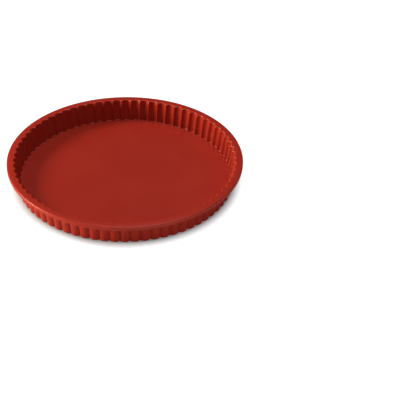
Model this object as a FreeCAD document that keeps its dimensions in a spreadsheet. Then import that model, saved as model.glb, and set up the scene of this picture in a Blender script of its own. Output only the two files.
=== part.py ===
import FreeCAD, Part
import math
import os
import Sketcher

# Fluted tart mould of silicone, with the stiffening ring that sits in the channel under its rim.
# Millimetres, +Z up, origin at the centre of the underside. A ridge between two flutes lies on +X.

# Driving dimensions
SIZES = [
    ("inside_radius", 130, "centre to the flute ridges, at floor level"),
    ("mould_height", 30, "table to the top of the rim"),
    ("wall_thickness", 1.6, "silicone between a flute inside and its bulge outside"),
    ("floor_thickness", 1.6, "flat bottom of the mould"),
    ("draft_angle", 9, "lean of the wall, degrees from upright"),
    ("flute_count", 70, "flutes round the wall"),
    ("flute_depth", 3.2, "ridge to the bottom of a flute, inside"),
    ("ridge_width", 0.9, "blunt edge of the ridge between two flutes"),
    ("collar_height", 4.8, "plain band between the rim and the outer valleys"),
    ("runout_radius", 7, "curve by which an outer valley fades out under the collar"),
    ("rim_height", 4.6, "height of the lip at the rim's outer edge"),
    ("flange_thickness", 1.6, "silicone over the ring channel"),
    ("channel_wall", 1.9, "silicone between the flutes and the ring channel"),
    ("lip_width", 2.9, "lip outside the ring channel"),
    ("ring_width", 3.2, "stiffening ring, across"),
    ("ring_height", 2.6, "stiffening ring, upright"),
    ("ring_clearance", 0.15, "gap on each side of the ring in its channel"),
    ("ring_edge", 0.6, "rounding of the ring's edges"),
    ("rim_edge", 1.4, "rounding of the rim's top outer edge"),
    ("lip_edge", 0.7, "rounding of the lip's two lower edges"),
    ("mouth_edge", 2.6, "rounding of the ridges at the mouth"),
    ("flute_edge", 0.4, "bevel of the flutes at the mouth"),
    ("base_edge", 1.0, "rounding of the bulges at the table"),
    ("gate_radius", 4.5, "shallow dish round the moulding gate, underneath"),
    ("gate_depth", 0.6, "depth of that dish"),
    ("stub_radius", 1.3, "stub that the gate leaves"),
    ("stub_inset", 0.15, "height of the stub's tip above the table"),
]

doc = FreeCAD.newDocument("fluted_tart_mould")
sheet = doc.addObject("Spreadsheet::Sheet", "sizes")
for row, (alias, number, meaning) in enumerate(SIZES, start=1):
    sheet.set("A%d" % row, meaning)
    sheet.set("B%d" % row, str(number))
    sheet.setAlias("B%d" % row, alias)
doc.recompute()

# Places worked out from those dimensions, as the text that sketches and features are bound to
LEAN = "tan(sizes.draft_angle * 1 deg)"
HALF_PITCH = "(180 deg / sizes.flute_count)"
RIDGE_FLOOR = "sizes.inside_radius"
RIDGE_MOUTH = "(sizes.inside_radius + (sizes.mould_height - sizes.floor_thickness) * %s)" % LEAN
CREST_BASE = ("(sizes.inside_radius + sizes.flute_depth - sizes.floor_thickness * %s"
              " + sizes.wall_thickness / cos(sizes.draft_angle * 1 deg))" % LEAN)
LIP_BOTTOM = "(sizes.mould_height - sizes.rim_height)"
CHANNEL_ROOF = "(sizes.mould_height - sizes.flange_thickness)"
CHANNEL_INNER = "(%s + sizes.flute_depth + sizes.channel_wall)" % RIDGE_MOUTH
CHANNEL_OUTER = "(%s + sizes.ring_width + 2 * sizes.ring_clearance)" % CHANNEL_INNER
RIM_RADIUS = "(%s + sizes.lip_width)" % CHANNEL_OUTER
RING_OUTER = "(%s - sizes.ring_clearance)" % CHANNEL_OUTER
COLLAR_BOTTOM = "(%s - sizes.collar_height)" % LIP_BOTTOM
COLLAR_RADIUS = "(%s + %s * %s)" % (CREST_BASE, COLLAR_BOTTOM, LEAN)


def amount(text):
    """The number that a piece of sheet arithmetic gives now."""
    return float(sheet.evalExpression(text))


def new_body(name):
    body = doc.addObject("PartDesign::Body", name)
    body.Label = name
    return body


def origin_feature(body, role):
    return next(f for f in body.Origin.OriginFeatures if f.Role == role)


def new_sketch(body, name, role, lift="0", turn="0"):
    """A sketch on one of the body's own origin planes, raised and turned about its normal."""
    sketch = body.newObject("Sketcher::SketchObject", name)
    sketch.AttachmentSupport = [(origin_feature(body, role), "")]
    sketch.MapMode = "FlatFace"
    sketch.setExpression("AttachmentOffset.Base.z", lift)
    sketch.setExpression("AttachmentOffset.Rotation.Angle", turn)
    return sketch


def hold(sketch, text, kind, *where):
    """A dimension in a sketch, bound to sheet arithmetic."""
    index = sketch.addConstraint(Sketcher.Constraint(kind, *where, amount(text)))
    sketch.setExpression("Constraints[%d]" % index, text)


def pin(sketch, line, end, across, up):
    """Hold one end of a line or arc at its distances from the two axes; '0' puts it on the axis."""
    for kind, text, axis in (("DistanceX", across, -2), ("DistanceY", up, -1)):
        if text == "0":
            sketch.addConstraint(Sketcher.Constraint("PointOnObject", line, end, axis))
        elif text.startswith("-"):
            hold(sketch, text[1:], kind, line, end, -1, 1)
        else:
            hold(sketch, text, kind, -1, 1, line, end)


def add_polygon(sketch, corners):
    """A closed outline through corners given as sheet arithmetic."""
    places = [FreeCAD.Vector(amount(x), amount(y), 0) for x, y in corners]
    for here, there in zip(places, places[1:] + places[:1]):
        sketch.addGeometry(Part.LineSegment(here, there), False)
    for line in range(len(corners)):
        sketch.addConstraint(Sketcher.Constraint("Coincident", line, 2, (line + 1) % len(corners), 1))
    for line, (across, up) in enumerate(corners):
        pin(sketch, line, 1, across, up)


def revolve(body, kind, name, corners):
    """Turn a polygon in the upright plane once round the mould's axis."""
    sketch = new_sketch(body, name + "_outline", "XZ_Plane")
    add_polygon(sketch, corners)
    feature = body.newObject(kind, name)
    feature.Profile = sketch
    feature.ReferenceAxis = (sketch, ["V_Axis"])
    feature.Angle = 360
    doc.recompute()
    return feature


def round_circles(body, name, base, circles, radius):
    """Fillet the circular edges of a turned feature, found by their radius and height."""
    names = []
    for across, up in circles:
        for number, edge in enumerate(base.Shape.Edges, start=1):
            curve = edge.Curve
            if (isinstance(curve, Part.Circle) and abs(curve.Radius - amount(across)) < 1e-4
                    and abs(curve.Center.z - amount(up)) < 1e-4):
                names.append("Edge%d" % number)
    fillet = body.newObject("PartDesign::Fillet", name)
    fillet.Base = (base, names)
    fillet.setExpression("Radius", radius)
    doc.recompute()
    return fillet


def ring_of(body, name, feature):
    """Repeat one cut at every flute round the axis."""
    pattern = body.newObject("PartDesign::PolarPattern", name)
    pattern.Originals = [feature]
    pattern.Axis = (origin_feature(body, "Z_Axis"), [""])
    pattern.Angle = 360
    pattern.setExpression("Occurrences", "sizes.flute_count")
    body.Tip = pattern
    doc.recompute()
    return pattern


# Cross-section of a flute
def flute_radius(ridge):
    """Radius of the arc from ridge to ridge at the level where the ridges stand at that radius."""
    half_chord = "(%s * sin(%s) - sizes.ridge_width / 2)" % (ridge, HALF_PITCH)
    rise = "(sizes.flute_depth + %s * (1 - cos(%s)))" % (ridge, HALF_PITCH)
    return "((%s^2 + %s^2) / (2 * %s))" % (half_chord, rise, rise)


def flute_section(body, name, lift, ridge, flare="0"):
    """The hollow of one flute at one level: its arc, closed by a chord inside the cavity."""
    sketch = new_sketch(body, name, "XY_Plane", lift, HALF_PITCH)
    plain_radius = flute_radius(ridge)
    radius = "(%s + %s)" % (plain_radius, flare)
    centre = "(%s + sizes.flute_depth - %s)" % (ridge, plain_radius)
    chord = "(%s * cos(%s) - sizes.ridge_width / 2)" % (ridge, HALF_PITCH)
    reach = amount("sqrt(%s^2 - (%s - %s)^2)" % (radius, chord, centre))
    low = FreeCAD.Vector(amount(chord), -reach, 0)
    high = FreeCAD.Vector(amount(chord), reach, 0)
    tip = FreeCAD.Vector(amount(centre) + amount(radius), 0, 0)
    sketch.addGeometry(Part.Arc(low, tip, high), False)
    sketch.addGeometry(Part.LineSegment(high, low), False)
    sketch.addConstraint(Sketcher.Constraint("Coincident", 0, 2, 1, 1))
    sketch.addConstraint(Sketcher.Constraint("Coincident", 1, 2, 0, 1))
    sketch.addConstraint(Sketcher.Constraint("Vertical", 1))
    pin(sketch, 0, 3, centre, "0")
    hold(sketch, radius, "Radius", 0)
    hold(sketch, chord, "DistanceX", -1, 1, 1, 1)
    return sketch


# The valley between two bulges outside
BULGE_RADIUS = "(%s + sizes.wall_thickness)" % flute_radius(RIDGE_FLOOR)
BULGE_RISE = "(sizes.wall_thickness / 20)"
BULGE_CENTRE = "(%s + %s - %s)" % (CREST_BASE, BULGE_RISE, BULGE_RADIUS)
BULGE_ASIDE = "(%s * sin(%s))" % (BULGE_CENTRE, HALF_PITCH)
VALLEY_BASE = ("(%s * cos(%s) + sqrt(%s^2 - %s^2))"
               % (BULGE_CENTRE, HALF_PITCH, BULGE_RADIUS, BULGE_ASIDE))
VALLEY_DEPTH = "(%s - %s)" % (CREST_BASE, VALLEY_BASE)


def valley_section(body):
    """Between the arcs of two neighbouring bulges, just below the table."""
    sketch = new_sketch(body, "valley_section", "XY_Plane", "-sizes.base_edge")
    centre = "(%s * cos(%s) - sizes.base_edge * %s)" % (BULGE_CENTRE, HALF_PITCH, LEAN)
    half_width = "(%s - sizes.ridge_width)" % BULGE_ASIDE
    outside = "(%s + sizes.wall_thickness)" % CREST_BASE
    foot = "asin(%s / %s)" % (BULGE_ASIDE, BULGE_RADIUS)
    brow = "asin(sizes.ridge_width / %s)" % BULGE_RADIUS
    left_centre = FreeCAD.Vector(amount(centre), amount(BULGE_ASIDE), 0)
    right_centre = FreeCAD.Vector(amount(centre), -amount(BULGE_ASIDE), 0)
    upright = FreeCAD.Vector(0, 0, 1)
    left = Part.Circle(left_centre, upright, amount(BULGE_RADIUS))
    right = Part.Circle(right_centre, upright, amount(BULGE_RADIUS))
    steep = math.radians(amount(foot))
    shallow = math.radians(amount(brow))
    left_arc = Part.ArcOfCircle(left, -steep, -shallow)
    right_arc = Part.ArcOfCircle(right, shallow, steep)
    left_edge = FreeCAD.Vector(amount(outside), amount(half_width), 0)
    right_edge = FreeCAD.Vector(amount(outside), -amount(half_width), 0)
    sketch.addGeometry(left_arc, False)
    sketch.addGeometry(Part.LineSegment(left_arc.EndPoint, left_edge), False)
    sketch.addGeometry(Part.LineSegment(left_edge, right_edge), False)
    sketch.addGeometry(Part.LineSegment(right_edge, right_arc.StartPoint), False)
    sketch.addGeometry(right_arc, False)
    for line in range(5):
        sketch.addConstraint(Sketcher.Constraint("Coincident", line, 2, (line + 1) % 5, 1))
    sketch.addConstraint(Sketcher.Constraint("Symmetric", 0, 3, 4, 3, -1))
    sketch.addConstraint(Sketcher.Constraint("Symmetric", 0, 2, 4, 1, -1))
    sketch.addConstraint(Sketcher.Constraint("Symmetric", 1, 2, 2, 2, -1))
    sketch.addConstraint(Sketcher.Constraint("Horizontal", 1))
    pin(sketch, 0, 3, centre, BULGE_ASIDE)
    hold(sketch, BULGE_RADIUS, "Radius", 0)
    hold(sketch, half_width, "DistanceY", -1, 1, 0, 2)
    hold(sketch, outside, "DistanceX", -1, 1, 1, 2)
    return sketch


def valley_path(body):
    """Up along the wall, then outwards in an arc, so that the valley fades out below the collar."""
    sketch = new_sketch(body, "valley_path", "XZ_Plane")
    start_across = "(%s - sizes.base_edge * %s)" % (VALLEY_BASE, LEAN)
    turn_up = ("(%s - sqrt(%s * (2 * sizes.runout_radius - %s)))"
               % (COLLAR_BOTTOM, VALLEY_DEPTH, VALLEY_DEPTH))
    turn_across = "(%s + %s * %s)" % (VALLEY_BASE, turn_up, LEAN)
    lift = "(%s + sizes.wall_thickness / 2)" % VALLEY_DEPTH
    climb = "sqrt(%s * (2 * sizes.runout_radius - %s))" % (lift, lift)
    end_up = ("(%s + %s * cos(sizes.draft_angle * 1 deg) - %s * sin(sizes.draft_angle * 1 deg))"
              % (turn_up, climb, lift))
    bend = "acos(1 - %s / sizes.runout_radius)" % lift
    draft = math.radians(amount("sizes.draft_angle"))
    arc_end = math.pi - draft
    arc_start = arc_end - math.radians(amount(bend))
    radius = amount("sizes.runout_radius")
    start = FreeCAD.Vector(amount(start_across), -amount("sizes.base_edge"), 0)
    turn = FreeCAD.Vector(amount(turn_across), amount(turn_up), 0)
    centre = turn + FreeCAD.Vector(math.cos(draft), -math.sin(draft), 0) * radius
    circle = Part.Circle(centre, FreeCAD.Vector(0, 0, 1), radius)
    sketch.addGeometry(Part.LineSegment(start, turn), False)
    sketch.addGeometry(Part.ArcOfCircle(circle, arc_start, arc_end), False)
    sketch.addConstraint(Sketcher.Constraint("Tangent", 0, 2, 1, 2))
    pin(sketch, 0, 1, start_across, "-sizes.base_edge")
    pin(sketch, 0, 2, turn_across, turn_up)
    hold(sketch, "sizes.runout_radius", "Radius", 1)
    hold(sketch, end_up, "DistanceY", -1, 1, 1, 1)
    return sketch


# Mould
mould = new_body("mould")
shell = revolve(mould, "PartDesign::Revolution", "shell", [
    ("0", "0"),
    (CREST_BASE, "0"),
    (COLLAR_RADIUS, COLLAR_BOTTOM),
    (CHANNEL_INNER, LIP_BOTTOM),
    (CHANNEL_INNER, CHANNEL_ROOF),
    (CHANNEL_OUTER, CHANNEL_ROOF),
    (CHANNEL_OUTER, LIP_BOTTOM),
    (RIM_RADIUS, LIP_BOTTOM),
    (RIM_RADIUS, "sizes.mould_height"),
    (RIDGE_MOUTH, "sizes.mould_height"),
    (RIDGE_FLOOR, "sizes.floor_thickness"),
    ("0", "sizes.floor_thickness"),
])
step = round_circles(mould, "rim_rounding", shell, [(RIM_RADIUS, "sizes.mould_height")],
                     "sizes.rim_edge")
step = round_circles(mould, "mouth_rounding", step, [(RIDGE_MOUTH, "sizes.mould_height")],
                     "sizes.mouth_edge")
step = round_circles(mould, "lip_rounding", step,
                     [(RIM_RADIUS, LIP_BOTTOM), (CHANNEL_OUTER, LIP_BOTTOM)], "sizes.lip_edge")
step = round_circles(mould, "base_rounding", step, [(CREST_BASE, "0")], "sizes.base_edge")

flute = mould.newObject("PartDesign::SubtractiveLoft", "flute")
flute.Profile = flute_section(mould, "flute_at_mouth", "sizes.mould_height", RIDGE_MOUTH)
flute.Sections = [flute_section(mould, "flute_at_floor", "sizes.floor_thickness", RIDGE_FLOOR)]
flute.Ruled = True
doc.recompute()
ring_of(mould, "flutes", flute)

# The flutes' sharp edge at the mouth, bevelled: a short loft that leaves the flute's wall at 45 degrees
bevel = mould.newObject("PartDesign::SubtractiveLoft", "bevel")
bevel.Profile = flute_section(mould, "bevel_above", "(sizes.mould_height + sizes.flute_edge)",
                              RIDGE_MOUTH, "2 * sizes.flute_edge")
bevel.Sections = [flute_section(mould, "bevel_below", "(sizes.mould_height - 2 * sizes.flute_edge)",
                                RIDGE_MOUTH, "-sizes.flute_edge")]
bevel.Ruled = True
doc.recompute()
ring_of(mould, "bevels", bevel)

valley = mould.newObject("PartDesign::SubtractivePipe", "valley")
valley.Profile = valley_section(mould)
valley.Spine = (valley_path(mould), ["Edge1", "Edge2"])
doc.recompute()
ring_of(mould, "valleys", valley)

gate = revolve(mould, "PartDesign::Groove", "gate", [
    ("0", "0"),
    ("sizes.gate_radius", "0"),
    ("(sizes.gate_radius - sizes.gate_depth)", "sizes.gate_depth"),
    ("sizes.stub_radius", "sizes.gate_depth"),
    ("sizes.stub_radius", "sizes.stub_inset"),
    ("0", "sizes.stub_inset"),
])
mould.Tip = gate

# Stiffening ring
support_ring = new_body("support_ring")
RING_BOTTOM = "(%s - sizes.ring_height)" % CHANNEL_ROOF
RING_INNER = "(%s - sizes.ring_width)" % RING_OUTER
band = revolve(support_ring, "PartDesign::Revolution", "band", [
    (RING_INNER, RING_BOTTOM),
    (RING_OUTER, RING_BOTTOM),
    (RING_OUTER, CHANNEL_ROOF),
    (RING_INNER, CHANNEL_ROOF),
])
support_ring.Tip = round_circles(
    support_ring, "band_rounding", band,
    [(across, up) for across in (RING_INNER, RING_OUTER) for up in (RING_BOTTOM, CHANNEL_ROOF)],
    "sizes.ring_edge")
doc.recompute()

# Check and write
for item in doc.Objects:
    if "Invalid" in item.State or "Error" in item.State:
        raise RuntimeError("%s did not build" % item.Name)
os.makedirs("parts", exist_ok=True)
for body in (mould, support_ring):
    if body.Shape.isNull() or not body.Shape.isValid():
        raise RuntimeError("%s is not a valid solid" % body.Label)
    body.Shape.exportStep("parts/%s.step" % body.Label)
    print(body.Label, len(body.Shape.Solids), "solid,", round(body.Shape.Volume), "mm3")
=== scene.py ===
import math

import bpy
import numpy as np
from mathutils import Matrix, Vector


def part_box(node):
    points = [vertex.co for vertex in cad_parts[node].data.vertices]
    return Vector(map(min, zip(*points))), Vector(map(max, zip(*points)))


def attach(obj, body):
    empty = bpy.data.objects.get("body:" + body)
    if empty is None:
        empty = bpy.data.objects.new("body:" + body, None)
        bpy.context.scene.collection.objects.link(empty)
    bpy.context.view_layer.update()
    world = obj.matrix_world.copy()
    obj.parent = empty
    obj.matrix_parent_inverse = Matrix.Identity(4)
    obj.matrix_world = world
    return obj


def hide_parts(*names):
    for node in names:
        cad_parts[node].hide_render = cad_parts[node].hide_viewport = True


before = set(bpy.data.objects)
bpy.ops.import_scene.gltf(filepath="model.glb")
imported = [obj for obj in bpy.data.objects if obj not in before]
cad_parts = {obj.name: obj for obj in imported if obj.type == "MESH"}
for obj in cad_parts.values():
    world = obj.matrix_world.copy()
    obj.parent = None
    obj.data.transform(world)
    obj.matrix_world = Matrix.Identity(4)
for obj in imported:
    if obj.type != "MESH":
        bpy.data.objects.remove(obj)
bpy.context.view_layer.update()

# Sizes of the mould, in metres. Radii and heights that the frame gives are read from it.
MM = 0.001
MOULD_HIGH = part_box("mould")[1]
RING_LOW, RING_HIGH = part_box("support_ring")
HEIGHT = MOULD_HIGH[2]
RIM_RADIUS = MOULD_HIGH[0]
WALL = 1.6 * MM
FLOOR = 1.6 * MM
INSIDE_RADIUS = 130 * MM
DRAFT = math.radians(9)
FLUTES = 70
FLUTE_DEPTH = 3.2 * MM
RIDGE_WIDTH = 0.9 * MM
COLLAR_HEIGHT = 4.8 * MM
RUNOUT_RADIUS = 7 * MM
RIM_HEIGHT = 4.6 * MM
FLANGE = 1.6 * MM
LIP_WIDTH = 2.9 * MM
RING_WIDTH = 3.2 * MM
RING_CLEARANCE = 0.15 * MM

# Edge roundings and the rim's slight crown
RIM_EDGE = 1.4 * MM
RIM_CROWN = 0.1 * MM
CROWN_WIDTH = 3.6 * MM
LIP_EDGE = 0.7 * MM
MOUTH_EDGE = 2.6 * MM
FLUTE_EDGE = 1.0 * MM
BASE_EDGE = 1.0 * MM
FLOOR_EDGE = 1.2 * MM
CHANNEL_EDGE = 0.4 * MM
COLLAR_BEVEL = 0.3 * MM
RING_EDGE = 0.6 * MM

# Roundings that come from how softly two surfaces are joined
RIDGE_SOFTNESS = 0.35 * MM
TIP_SOFTNESS = 1.1 * MM
VALLEY_SOFTNESS = 0.45 * MM

# The moulding gate's dish and the stub in its middle
GATE_RADIUS = 4.5 * MM
GATE_DEPTH = 0.6 * MM
GATE_SURROUND = 0.5 * MM
GATE_EDGE = 0.04 * MM
GATE_CORNER_WIDTH = 0.3 * MM
GATE_CORNER_HEIGHT = 0.08 * MM
STUB_RADIUS = 1.3 * MM
STUB_INSET = 0.15 * MM
STUB_FOOT_WIDTH = 0.15 * MM
STUB_FOOT_HEIGHT = 0.1 * MM
STUB_TAPER = 0.1 * MM
STUB_TIP_WIDTH = 0.4 * MM
STUB_TIP_HEIGHT = 0.15 * MM

# Fineness of the meshes. Rows on the collar lie at shares of its height, and those on the crown at shares of
# its width, counted from the inner end.
STEPS_PER_FLUTE = 16
CORNER_STEPS = 5
MOUTH_STEPS = 9
CHANNEL_STEPS = 2
LIP_STEPS = 3
OUTSIDE_STEPS = 5
RUNOUT_STEPS = 10
INSIDE_STEPS = 6
RING_STEPS = 420
COLLAR_ROWS = (0.25, 0.6, 0.92)
CROWN_ROWS = (0.5, 0)

# Spacing round a flute: the even part, and the part that is closer together at the ridges
EVEN_SPACING = 0.45
CLOSE_SPACING = 0.55

# Flat bands beside the roundings, how far below the collar the rows get closer, and the largest share of the
# run-out's radius that a valley follows
FLAT_BAND = 1 * MM
MOUTH_BAND = 0.5 * MM
RUNOUT_ROOM = 6.2 * MM
RUNOUT_REACH = 0.98

# The middles of the inside floor and of the underside: a disc that starts at a share of the wall's radius, and
# rings inside it, each at a share of the radius of the one around it and with half its corners
DISC_SHARE = 0.90
DISC_STEP = 0.8
DISC_RINGS = 4

# The silicone: colours from 0 to 255, roughness, strength of its reflections, and the normal's outward share
# at which the outside's look sets in and at which it is full
SILICONE_COLOURS = (155, 38, 26), (160, 41, 28)
ROUGHNESS_INSIDE = 0.28, 0.32
ROUGHNESS_OUTSIDE = 0.34
SHEEN_INSIDE = 0.42
SHEEN_OUTSIDE = 0.34
FACING_OUT = 0.02, 0.22
SILICONE_IOR = 1.42

# The ring's plastic
PLASTIC_COLOURS = (120, 34, 24), (134, 38, 27)
PLASTIC_ROUGHNESS = 0.24, 0.32
PLASTIC_IOR = 1.5

# The ground's colour where the camera sees it and its own glow there, its colour in reflections, and its
# colour for the light that it throws back
GROUND_SEEN = (0.36, 0.42, 0.45, 1)
GROUND_GLOW = (0.93, 0.93, 0.94, 1)
GROUND_MIRRORED = (0.6, 0.6, 0.6, 1)
GROUND_BOUNCE = (0.85, 0.85, 0.85, 1)
NO_GLOW = (0, 0, 0, 1)
GROUND_RADIUS = 6
GROUND_SIDES = 96
GROUND_DROP = 0.0002

# The contact shadow painted into the ground's glow: how far it reaches, the glow's share that is left at the
# mould's foot, and the openness at which the painted shadow is full and at which it ends
CONTACT_REACH = 14 * MM
CONTACT_GLOW = 0.12
CONTACT_OPENNESS = 0.40, 0.97

LAMP_DISTANCE = 1.3
SKY_STRENGTH = 0.05

# The camera of the photograph. The rim's ellipse gives its place for a focal length, and the focal length is
# the one of those tried at which the flutes are spaced most evenly.
PHOTO_SIZE = 400
FOCAL_PIXELS = 1100
SENSOR = 36
CAMERA_DISTANCE = 9.373 * RIM_RADIUS
CAMERA_ELEVATION = math.radians(33.557)
CAMERA_AZIMUTH = math.radians(-88.845)
CAMERA_HEADING = math.radians(-3.569)
CAMERA_PITCH = math.radians(35.802)
CAMERA_ROLL = math.radians(1.622)
CLIP_START = 0.05
CLIP_END = 50

LEAN = math.tan(DRAFT)
HALF_PITCH = math.pi / FLUTES
CREST_BASE = INSIDE_RADIUS + FLUTE_DEPTH - FLOOR * LEAN + WALL / math.cos(DRAFT)
LIP_BOTTOM = HEIGHT - RIM_HEIGHT
CHANNEL_ROOF = HEIGHT - FLANGE
CHANNEL_OUTER = RIM_RADIUS - LIP_WIDTH
CHANNEL_INNER = CHANNEL_OUTER - RING_WIDTH - 2 * RING_CLEARANCE
COLLAR_BOTTOM = LIP_BOTTOM - COLLAR_HEIGHT
CROWN_TILT = math.atan(2 * RIM_CROWN / CROWN_WIDTH)
CROWN_START = RIM_RADIUS - RIM_EDGE * (1 - math.sin(CROWN_TILT))
CROWN_END = CROWN_START - CROWN_WIDTH


def soft_max(a, b, softness):
    """The larger of two numbers, with the corner between them rounded."""
    blend = np.clip(0.5 + 0.5 * (a - b) / softness, 0, 1)
    return b + (a - b) * blend + softness * blend * (1 - blend)


def soft_min(a, b, softness):
    return -soft_max(-a, -b, softness)


def flute_angles():
    """Angles round the mould, closer together at the ridges, and their offsets from the flutes' middles."""
    share = (np.arange(STEPS_PER_FLUTE) + 0.5) / STEPS_PER_FLUTE * 2 - 1
    offset = HALF_PITCH * (EVEN_SPACING * share + CLOSE_SPACING * np.sin(share * math.pi / 2))
    middles = (2 * np.arange(FLUTES) + 1) * HALF_PITCH
    return (middles[:, None] + offset[None, :]).ravel(), np.tile(offset, FLUTES)


ANGLES, OFFSETS = flute_angles()


def ridge_radius(height):
    return INSIDE_RADIUS + (height - FLOOR) * LEAN


def ridge_at_mouth(height):
    """Radius of the ridges' tops, which round over into the rim."""
    tangent = HEIGHT - MOUTH_EDGE * (1 - math.sin(DRAFT))
    if height <= tangent:
        return ridge_radius(height)
    centre = ridge_radius(HEIGHT - MOUTH_EDGE) + MOUTH_EDGE / math.cos(DRAFT)
    return centre - math.sqrt(MOUTH_EDGE ** 2 - (height - HEIGHT + MOUTH_EDGE) ** 2)


def flute_arc(ridge):
    """Radius of a flute's arc, and its centre's distance from the mould's axis."""
    half_chord = ridge * math.sin(HALF_PITCH) - RIDGE_WIDTH / 2
    rise = FLUTE_DEPTH + ridge * (1 - math.cos(HALF_PITCH))
    radius = (half_chord ** 2 + rise ** 2) / (2 * rise)
    return radius, ridge + FLUTE_DEPTH - radius


def bulge(offset, radius, centre):
    """Distance from the mould's axis to a flute's arc, at angles from the flute's middle."""
    return centre * np.cos(offset) + np.sqrt(np.maximum(radius ** 2 - (centre * np.sin(offset)) ** 2, 0))


def inner_wall(height):
    """Radius of the inside at one height, all the way round."""
    radius, centre = flute_arc(ridge_radius(height))
    arc = bulge(OFFSETS, radius, centre)
    past = max(height - HEIGHT + FLUTE_EDGE, 0)
    arc += FLUTE_EDGE - math.sqrt(FLUTE_EDGE ** 2 - past ** 2)
    near_mouth = np.clip(1 - (HEIGHT - height) / MOUTH_EDGE, 0, 1)
    softness = RIDGE_SOFTNESS + (TIP_SOFTNESS - RIDGE_SOFTNESS) * near_mouth
    return soft_max(arc, ridge_at_mouth(height), softness)


def outer_wall(height):
    """Radius of the outside at one height, with the valleys fading out under the collar."""
    radius, _ = flute_arc(INSIDE_RADIUS)
    radius += WALL
    centre = CREST_BASE - radius
    own = bulge(OFFSETS, radius, centre)
    neighbour = bulge(2 * HALF_PITCH - np.abs(OFFSETS), radius, centre)
    shape = soft_max(own, neighbour, VALLEY_SOFTNESS) - CREST_BASE
    depth = -shape.min()
    turn = COLLAR_BOTTOM - math.sqrt(depth * (2 * RUNOUT_RADIUS - depth))
    past = min(max(height - turn, 0), RUNOUT_RADIUS * RUNOUT_REACH)
    lift = RUNOUT_RADIUS - math.sqrt(RUNOUT_RADIUS ** 2 - past ** 2)
    crest = CREST_BASE + height * LEAN
    if lift == 0:
        return crest + shape
    return soft_min(crest + shape + lift, crest, min(VALLEY_SOFTNESS, lift))


def corner_angles(steps):
    """Angles of a quarter round, both ends left out."""
    return [math.pi / 2 * (i + 1) / (steps + 1) for i in range(steps)]


def quarter_round(radius, height, across, up, flat_first, steps=CORNER_STEPS):
    """Rows that round the sharp corner at a radius and height, both ends left out.

    One end lies across from that corner and the other one up from it, or down where up is negative. The rows
    start at the first of them if flat_first is true, and at the other one if not.
    """
    rows = []
    for angle in corner_angles(steps):
        gone, to_go = 1 - math.cos(angle), 1 - math.sin(angle)
        if flat_first:
            rows.append((radius + across * to_go, height + up * gone))
        else:
            rows.append((radius + across * gone, height + up * to_go))
    return rows


def heights_between(start, end, steps):
    """Evenly spaced heights, both ends included."""
    return [start + (end - start) * share for share in np.linspace(0, 1, steps + 1)]


def underside_rows():
    """Out along the underside and round its edge."""
    foot = outer_wall(BASE_EDGE)
    return [(DISC_SHARE * CREST_BASE, 0),
            (foot - BASE_EDGE - FLAT_BAND, 0),
            (foot - BASE_EDGE, 0),
            *quarter_round(foot, 0, -BASE_EDGE, BASE_EDGE, flat_first=True)]


def outside_rows():
    """Up the fluted outside, closer together where the valleys fade out."""
    straight_end = COLLAR_BOTTOM - RUNOUT_ROOM
    straight = heights_between(BASE_EDGE, straight_end, OUTSIDE_STEPS)
    runout = heights_between(straight_end, COLLAR_BOTTOM, RUNOUT_STEPS)[1:]
    return [(outer_wall(height), height) for height in straight + runout]


def collar_rows():
    """Out along the plain collar to the channel's inner wall."""
    foot = CREST_BASE + COLLAR_BOTTOM * LEAN
    slope = [(foot + (CHANNEL_INNER - foot) * share, COLLAR_BOTTOM + COLLAR_HEIGHT * share)
             for share in COLLAR_ROWS]
    return slope + [(CHANNEL_INNER, LIP_BOTTOM + COLLAR_BEVEL)]


def channel_rows():
    """Up the channel's inner wall, across its roof and down to its outer wall."""
    edge = CHANNEL_EDGE
    return [(CHANNEL_INNER, CHANNEL_ROOF - edge),
            *quarter_round(CHANNEL_INNER, CHANNEL_ROOF, edge, -edge, flat_first=False, steps=CHANNEL_STEPS),
            (CHANNEL_INNER + edge, CHANNEL_ROOF),
            (CHANNEL_OUTER - edge, CHANNEL_ROOF),
            *quarter_round(CHANNEL_OUTER, CHANNEL_ROOF, -edge, -edge, flat_first=True, steps=CHANNEL_STEPS),
            (CHANNEL_OUTER, CHANNEL_ROOF - edge)]


def lip_rows():
    """Down the lip's inside, across its bottom and up to its outside."""
    edge = LIP_EDGE
    return [(CHANNEL_OUTER, LIP_BOTTOM + edge),
            *quarter_round(CHANNEL_OUTER, LIP_BOTTOM, edge, edge, flat_first=False, steps=LIP_STEPS),
            (CHANNEL_OUTER + edge, LIP_BOTTOM),
            (RIM_RADIUS - edge, LIP_BOTTOM),
            *quarter_round(RIM_RADIUS, LIP_BOTTOM, -edge, edge, flat_first=True, steps=LIP_STEPS),
            (RIM_RADIUS, LIP_BOTTOM + edge)]


def rim_rows():
    """Round the rim's outer edge and in over its slight crown."""
    shoulder = HEIGHT - RIM_CROWN - RIM_EDGE * math.cos(CROWN_TILT)
    rows = [(RIM_RADIUS, shoulder)]
    for share in np.linspace(0, 1, CORNER_STEPS + 2)[1:]:
        angle = (math.pi / 2 - CROWN_TILT) * share
        rows.append((RIM_RADIUS - RIM_EDGE * (1 - math.cos(angle)), shoulder + RIM_EDGE * math.sin(angle)))
    for share in CROWN_ROWS:
        rows.append((CROWN_START - CROWN_WIDTH * (1 - share), HEIGHT - RIM_CROWN * share ** 2))
    return rows


def mouth_rows():
    """From the crown to the flutes' ends and over their rounded edge."""
    mouth = inner_wall(HEIGHT)
    rows = [((mouth + CROWN_END) / 2, HEIGHT), (mouth + MOUTH_BAND, HEIGHT), (mouth, HEIGHT)]
    for angle in corner_angles(MOUTH_STEPS):
        height = HEIGHT - MOUTH_EDGE * (1 - math.cos(angle))
        rows.append((inner_wall(height), height))
    return rows


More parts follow.
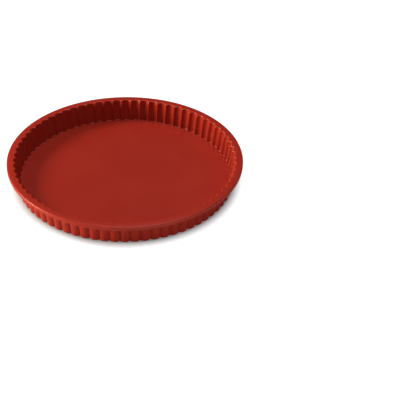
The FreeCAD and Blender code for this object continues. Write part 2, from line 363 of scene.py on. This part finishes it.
def inside_rows():
    """Down the fluted inside, round its foot and in along the floor."""
    wall_end = FLOOR + FLOOR_EDGE
    foot = inner_wall(wall_end)
    wall = [(inner_wall(height), height)
            for height in heights_between(HEIGHT - MOUTH_EDGE, wall_end, INSIDE_STEPS)]
    return [*wall,
            *quarter_round(foot, FLOOR, -FLOOR_EDGE, FLOOR_EDGE, flat_first=False),
            (foot - FLOOR_EDGE, FLOOR),
            (foot - FLOOR_EDGE - FLAT_BAND, FLOOR),
            (DISC_SHARE * INSIDE_RADIUS, FLOOR)]


def mould_rows():
    """The mould's section as rows of a radius, which may change round the mould, and a height."""
    return (underside_rows() + outside_rows() + collar_rows() + channel_rows()
            + lip_rows() + rim_rows() + mouth_rows() + inside_rows())


class Builder:
    """Collects corners and faces of one mesh."""

    def __init__(self):
        self.corners = []
        self.faces = []

    def ring(self, radius, height, angles):
        """A ring of corners, with one radius for all of them or one for each."""
        first = len(self.corners)
        heights = np.full(len(angles), height)
        self.corners.extend(zip(radius * np.cos(angles), radius * np.sin(angles), heights))
        return list(range(first, first + len(angles)))

    def band(self, below, above):
        """Quads between two rings of as many corners."""
        count = len(below)
        for i in range(count):
            j = (i + 1) % count
            self.faces.append((below[i], below[j], above[j], above[i]))

    def halve(self, outer, inner, upward):
        """Joins a ring to one of half as many corners inside it."""
        count = len(inner)
        for i in range(count):
            j = (i + 1) % count
            a, b, c = outer[2 * i], outer[2 * i + 1], outer[(2 * i + 2) % len(outer)]
            faces = [(a, b, inner[i]), (b, inner[j], inner[i]), (b, c, inner[j])]
            self.faces.extend(faces if upward else [tuple(reversed(face)) for face in faces])

    def cap(self, ring, upward):
        self.faces.append(tuple(ring) if upward else tuple(reversed(ring)))

    def finish(self, name, material):
        mesh = bpy.data.meshes.new(name)
        mesh.from_pydata([tuple(map(float, c)) for c in self.corners], [], self.faces)
        mesh.validate()
        mesh.polygons.foreach_set("use_smooth", [True] * len(mesh.polygons))
        mesh.materials.append(material)
        piece = bpy.data.objects.new(name, mesh)
        bpy.context.scene.collection.objects.link(piece)
        return piece


def thin_out(builder, ring, radius, height, upward):
    """Rings towards the middle of a disc, each with half the corners. Gives the last one and its angles."""
    angles = ANGLES
    for _ in range(DISC_RINGS):
        angles = angles[::2]
        radius *= DISC_STEP
        inner = builder.ring(radius, height, angles)
        builder.halve(ring, inner, upward)
        ring = inner
    return ring, angles


def gate_section():
    """The gate's dish and its stub, as radii and heights from outside in."""
    dish_radius = GATE_RADIUS - GATE_DEPTH
    return [(GATE_RADIUS + GATE_SURROUND, 0),
            (GATE_RADIUS, GATE_EDGE),
            (dish_radius, GATE_DEPTH - GATE_CORNER_HEIGHT),
            (dish_radius - GATE_CORNER_WIDTH, GATE_DEPTH),
            (STUB_RADIUS + STUB_FOOT_WIDTH, GATE_DEPTH),
            (STUB_RADIUS, GATE_DEPTH - STUB_FOOT_HEIGHT),
            (STUB_RADIUS - STUB_TAPER, STUB_INSET + STUB_TIP_HEIGHT),
            (STUB_RADIUS - STUB_TIP_WIDTH, STUB_INSET)]


def close_inside(builder, ring):
    """The middle of the inside floor."""
    ring, _ = thin_out(builder, ring, DISC_SHARE * INSIDE_RADIUS, FLOOR, upward=True)
    builder.cap(ring, upward=True)


def close_underside(builder, ring):
    """The middle of the underside, with the gate's dish and stub."""
    ring, angles = thin_out(builder, ring, DISC_SHARE * CREST_BASE, 0, upward=False)
    for radius, height in gate_section():
        inner = builder.ring(radius, height, angles)
        builder.band(inner, ring)
        ring = inner
    builder.cap(ring, upward=False)


def make_mould(material):
    """The silicone moulding as one mesh."""
    builder = Builder()
    rings = [builder.ring(radius, height, ANGLES) for radius, height in mould_rows()]
    for below, above in zip(rings, rings[1:]):
        builder.band(below, above)
    close_inside(builder, rings[-1])
    close_underside(builder, rings[0])
    return builder.finish("mould_skin", material)


def make_ring(material):
    """The stiffening ring as a fine rounded band."""
    outer, inner = RING_HIGH[0], RING_HIGH[0] - RING_WIDTH
    low, high = RING_LOW[2], RING_HIGH[2]
    angles = np.arange(RING_STEPS) * 2 * math.pi / RING_STEPS
    section = []
    for across, up, start in ((outer - RING_EDGE, low + RING_EDGE, -90),
                              (outer - RING_EDGE, high - RING_EDGE, 0),
                              (inner + RING_EDGE, high - RING_EDGE, 90),
                              (inner + RING_EDGE, low + RING_EDGE, 180)):
        for step in range(CORNER_STEPS + 1):
            turn = math.radians(start + 90 * step / CORNER_STEPS)
            section.append((across + RING_EDGE * math.cos(turn), up + RING_EDGE * math.sin(turn)))
    builder = Builder()
    rings = [builder.ring(across, up, angles) for across, up in section]
    for below, above in zip(rings, rings[1:] + rings[:1]):
        builder.band(below, above)
    return builder.finish("support_ring_band", material)


def srgb(red, green, blue):
    """Colour as it shows on screen, from 0 to 255, as the linear colour a shader takes."""
    def linear(value):
        value /= 255
        return value / 12.92 if value <= 0.04045 else ((value + 0.055) / 1.055) ** 2.4
    return (linear(red), linear(green), linear(blue), 1)


def new_material(name):
    material = bpy.data.materials.new(name)
    material.use_nodes = True
    return material, material.node_tree.nodes, material.node_tree.links


def add_noise(nodes, links, coords, scale, detail):
    noise = nodes.new("ShaderNodeTexNoise")
    noise.inputs["Scale"].default_value = scale
    noise.inputs["Detail"].default_value = detail
    links.new(coords, noise.inputs["Vector"])
    return noise.outputs["Fac"]


def add_mix(nodes, links, factor, low, high, kind="RGBA"):
    """Mix of two colours or numbers, each given as a value or as a socket."""
    mix = nodes.new("ShaderNodeMix")
    mix.data_type = kind
    for name, value in (("A", low), ("B", high)):
        if isinstance(value, bpy.types.NodeSocket):
            links.new(value, mix.inputs[name])
        else:
            mix.inputs[name].default_value = value
    links.new(factor, mix.inputs["Factor"])
    return mix.outputs["Result"]


def add_range(nodes, links, value, low, high, start=0.3, end=0.7):
    """Spreads the values between start and end over low to high."""
    spread = nodes.new("ShaderNodeMapRange")
    spread.inputs["From Min"].default_value = start
    spread.inputs["From Max"].default_value = end
    spread.inputs["To Min"].default_value = low
    spread.inputs["To Max"].default_value = high
    links.new(value, spread.inputs["Value"])
    return spread.outputs["Result"]


def add_bump(nodes, links, height, strength, distance, normal=None):
    bump = nodes.new("ShaderNodeBump")
    bump.inputs["Strength"].default_value = strength
    bump.inputs["Distance"].default_value = distance
    links.new(height, bump.inputs["Height"])
    if normal is not None:
        links.new(normal, bump.inputs["Normal"])
    return bump.outputs["Normal"]


def add_vector_step(nodes, links, operation, first, second=None):
    step = nodes.new("ShaderNodeVectorMath")
    step.operation = operation
    links.new(first, step.inputs[0])
    if isinstance(second, tuple):
        step.inputs[1].default_value = second
    elif second is not None:
        links.new(second, step.inputs[1])
    return step


def facing_out(nodes, links, place, normal):
    """0 where the surface faces the mould's axis or the sky, 1 where it faces away from the axis."""
    flat = add_vector_step(nodes, links, "MULTIPLY", place, (1, 1, 0)).outputs["Vector"]
    outward = add_vector_step(nodes, links, "NORMALIZE", flat).outputs["Vector"]
    away = add_vector_step(nodes, links, "DOT_PRODUCT", normal, outward).outputs["Value"]
    return add_range(nodes, links, away, 0, 1, *FACING_OUT)


def silicone():
    """Silicone: cloudy colour, fine moulded grain, glossier inside the mould than outside."""
    material, nodes, links = new_material("silicone_terracotta")
    shader = nodes["Principled BSDF"]
    texture = nodes.new("ShaderNodeTexCoord").outputs
    coords = texture["Object"]
    cloud = add_noise(nodes, links, coords, scale=18, detail=4)
    grain = add_noise(nodes, links, coords, scale=1800, detail=2)
    swell = add_noise(nodes, links, coords, scale=26, detail=2)
    dark, light = SILICONE_COLOURS
    colour = add_mix(nodes, links, add_range(nodes, links, cloud, 0, 1), srgb(*dark), srgb(*light))
    links.new(colour, shader.inputs["Base Color"])
    outside = facing_out(nodes, links, coords, texture["Normal"])
    inside_roughness = add_range(nodes, links, cloud, *ROUGHNESS_INSIDE)
    roughness = add_mix(nodes, links, outside, inside_roughness, ROUGHNESS_OUTSIDE, "FLOAT")
    links.new(roughness, shader.inputs["Roughness"])
    sheen = add_mix(nodes, links, outside, SHEEN_INSIDE, SHEEN_OUTSIDE, "FLOAT")
    links.new(sheen, shader.inputs["Specular IOR Level"])
    normal = add_bump(nodes, links, swell, strength=0.12, distance=0.4 * MM)
    normal = add_bump(nodes, links, grain, strength=0.10, distance=0.04 * MM, normal=normal)
    links.new(normal, shader.inputs["Normal"])
    shader.inputs["IOR"].default_value = SILICONE_IOR
    return material


def ring_plastic():
    """Heat-proof moulded plastic in the mould's colour, darker and smoother."""
    material, nodes, links = new_material("ring_plastic")
    shader = nodes["Principled BSDF"]
    coords = nodes.new("ShaderNodeTexCoord").outputs["Object"]
    cloud = add_noise(nodes, links, coords, scale=60, detail=3)
    grain = add_noise(nodes, links, coords, scale=900, detail=2)
    dark, light = PLASTIC_COLOURS
    colour = add_mix(nodes, links, add_range(nodes, links, cloud, 0, 1), srgb(*dark), srgb(*light))
    links.new(colour, shader.inputs["Base Color"])
    links.new(add_range(nodes, links, cloud, *PLASTIC_ROUGHNESS), shader.inputs["Roughness"])
    normal = add_bump(nodes, links, grain, strength=0.08, distance=0.03 * MM)
    links.new(normal, shader.inputs["Normal"])
    shader.inputs["IOR"].default_value = PLASTIC_IOR
    return material


def contact_shadow(nodes, links):
    """Painted contact shadow for the ground's glow: 1 on open ground, less close to where the mould stands."""
    shadow = nodes.new("ShaderNodeAmbientOcclusion")
    shadow.inputs["Distance"].default_value = CONTACT_REACH
    return add_range(nodes, links, shadow.outputs["AO"], CONTACT_GLOW, 1, *CONTACT_OPENNESS)


def ground_material():
    """White to the camera by its lit colour, which keeps the mould's shadow, and by a glow that only camera rays
    see, into which a contact shadow is painted near the mould. In reflections it is plain grey, and for the
    light that it throws back on the mould a paler grey."""
    material, nodes, links = new_material("pale_floor")
    nodes.remove(nodes["Principled BSDF"])
    path = nodes.new("ShaderNodeLightPath").outputs
    colour = add_mix(nodes, links, path["Is Camera Ray"], GROUND_BOUNCE, GROUND_SEEN)
    glow = add_mix(nodes, links, path["Is Camera Ray"], NO_GLOW, GROUND_GLOW)
    for kind in ("Is Glossy Ray", "Is Transmission Ray"):
        colour = add_mix(nodes, links, path[kind], colour, GROUND_MIRRORED)
    diffuse = nodes.new("ShaderNodeBsdfDiffuse")
    links.new(colour, diffuse.inputs["Color"])
    emission = nodes.new("ShaderNodeEmission")
    links.new(glow, emission.inputs["Color"])
    # The glow's strength carries the painted contact shadow
    links.new(contact_shadow(nodes, links), emission.inputs["Strength"])
    both = nodes.new("ShaderNodeAddShader")
    links.new(diffuse.outputs["BSDF"], both.inputs[0])
    links.new(emission.outputs["Emission"], both.inputs[1])
    links.new(both.outputs["Shader"], nodes["Material Output"].inputs["Surface"])
    return material


def make_floor():
    """A wide disc just under the mould."""
    bpy.ops.mesh.primitive_circle_add(vertices=GROUND_SIDES, radius=GROUND_RADIUS, fill_type="NGON",
                                      location=(0, 0, -GROUND_DROP))
    floor = bpy.context.object
    floor.name = "floor"
    floor.data.materials.append(ground_material())


def add_softbox(name, azimuth, elevation, width, height, power, colour):
    """A soft lamp that faces the mould, from a direction given in degrees."""
    light = bpy.data.lights.new(name, "AREA")
    light.shape = "RECTANGLE"
    light.size = width
    light.size_y = height
    light.energy = power
    light.color = colour
    box = bpy.data.objects.new(name, light)
    turn, rise = math.radians(azimuth), math.radians(elevation)
    direction = Vector((math.cos(rise) * math.cos(turn), math.cos(rise) * math.sin(turn), math.sin(rise)))
    place = direction * LAMP_DISTANCE
    box.location = place
    box.rotation_euler = place.to_track_quat("Z", "Y").to_euler()
    bpy.context.scene.collection.objects.link(box)


def light_scene():
    """Five lamps and a weak even light from all round."""
    add_softbox("top_lamp", azimuth=60, elevation=80, width=1.0, height=1.0, power=8.5,
                colour=(1.0, 0.97, 0.93))
    add_softbox("left_lamp", azimuth=165, elevation=36, width=0.42, height=0.42, power=11.8,
                colour=(1.0, 0.87, 0.72))
    add_softbox("low_lamp", azimuth=187, elevation=5, width=0.40, height=0.24, power=22,
                colour=(1.0, 0.79, 0.46))
    add_softbox("fill_lamp", azimuth=274, elevation=48, width=0.45, height=0.45, power=2.0,
                colour=(1.0, 0.97, 0.94))
    add_softbox("front_lamp", azimuth=300, elevation=1, width=0.80, height=0.04, power=3.4,
                colour=(1.0, 0.84, 0.62))
    world = bpy.data.worlds.new("studio")
    bpy.context.scene.world = world
    world.use_nodes = True
    background = world.node_tree.nodes["Background"]
    background.inputs["Color"].default_value = (1, 1, 1, 1)
    background.inputs["Strength"].default_value = SKY_STRENGTH


def place_camera():
    """The photograph's camera."""
    camera = bpy.data.cameras.new("photo_camera")
    camera.sensor_width = SENSOR
    camera.lens = FOCAL_PIXELS / PHOTO_SIZE * SENSOR
    camera.clip_start = CLIP_START
    camera.clip_end = CLIP_END
    holder = bpy.data.objects.new("photo_camera", camera)
    reach = CAMERA_DISTANCE * math.cos(CAMERA_ELEVATION)
    place = Vector((reach * math.cos(CAMERA_AZIMUTH), reach * math.sin(CAMERA_AZIMUTH),
                    HEIGHT + CAMERA_DISTANCE * math.sin(CAMERA_ELEVATION)))
    turn = (Matrix.Rotation(CAMERA_HEADING, 4, "Z") @ Matrix.Rotation(math.pi / 2 - CAMERA_PITCH, 4, "X")
            @ Matrix.Rotation(CAMERA_ROLL, 4, "Z"))
    holder.matrix_world = Matrix.Translation(place) @ turn
    bpy.context.scene.collection.objects.link(holder)
    bpy.context.scene.camera = holder


place_camera()
light_scene()
make_floor()

mould = make_mould(silicone())
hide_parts("mould")
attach(mould, "root")

ring = make_ring(ring_plastic())
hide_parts("support_ring")
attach(ring, "root")

bpy.context.scene.view_settings.view_transform = "Standard"
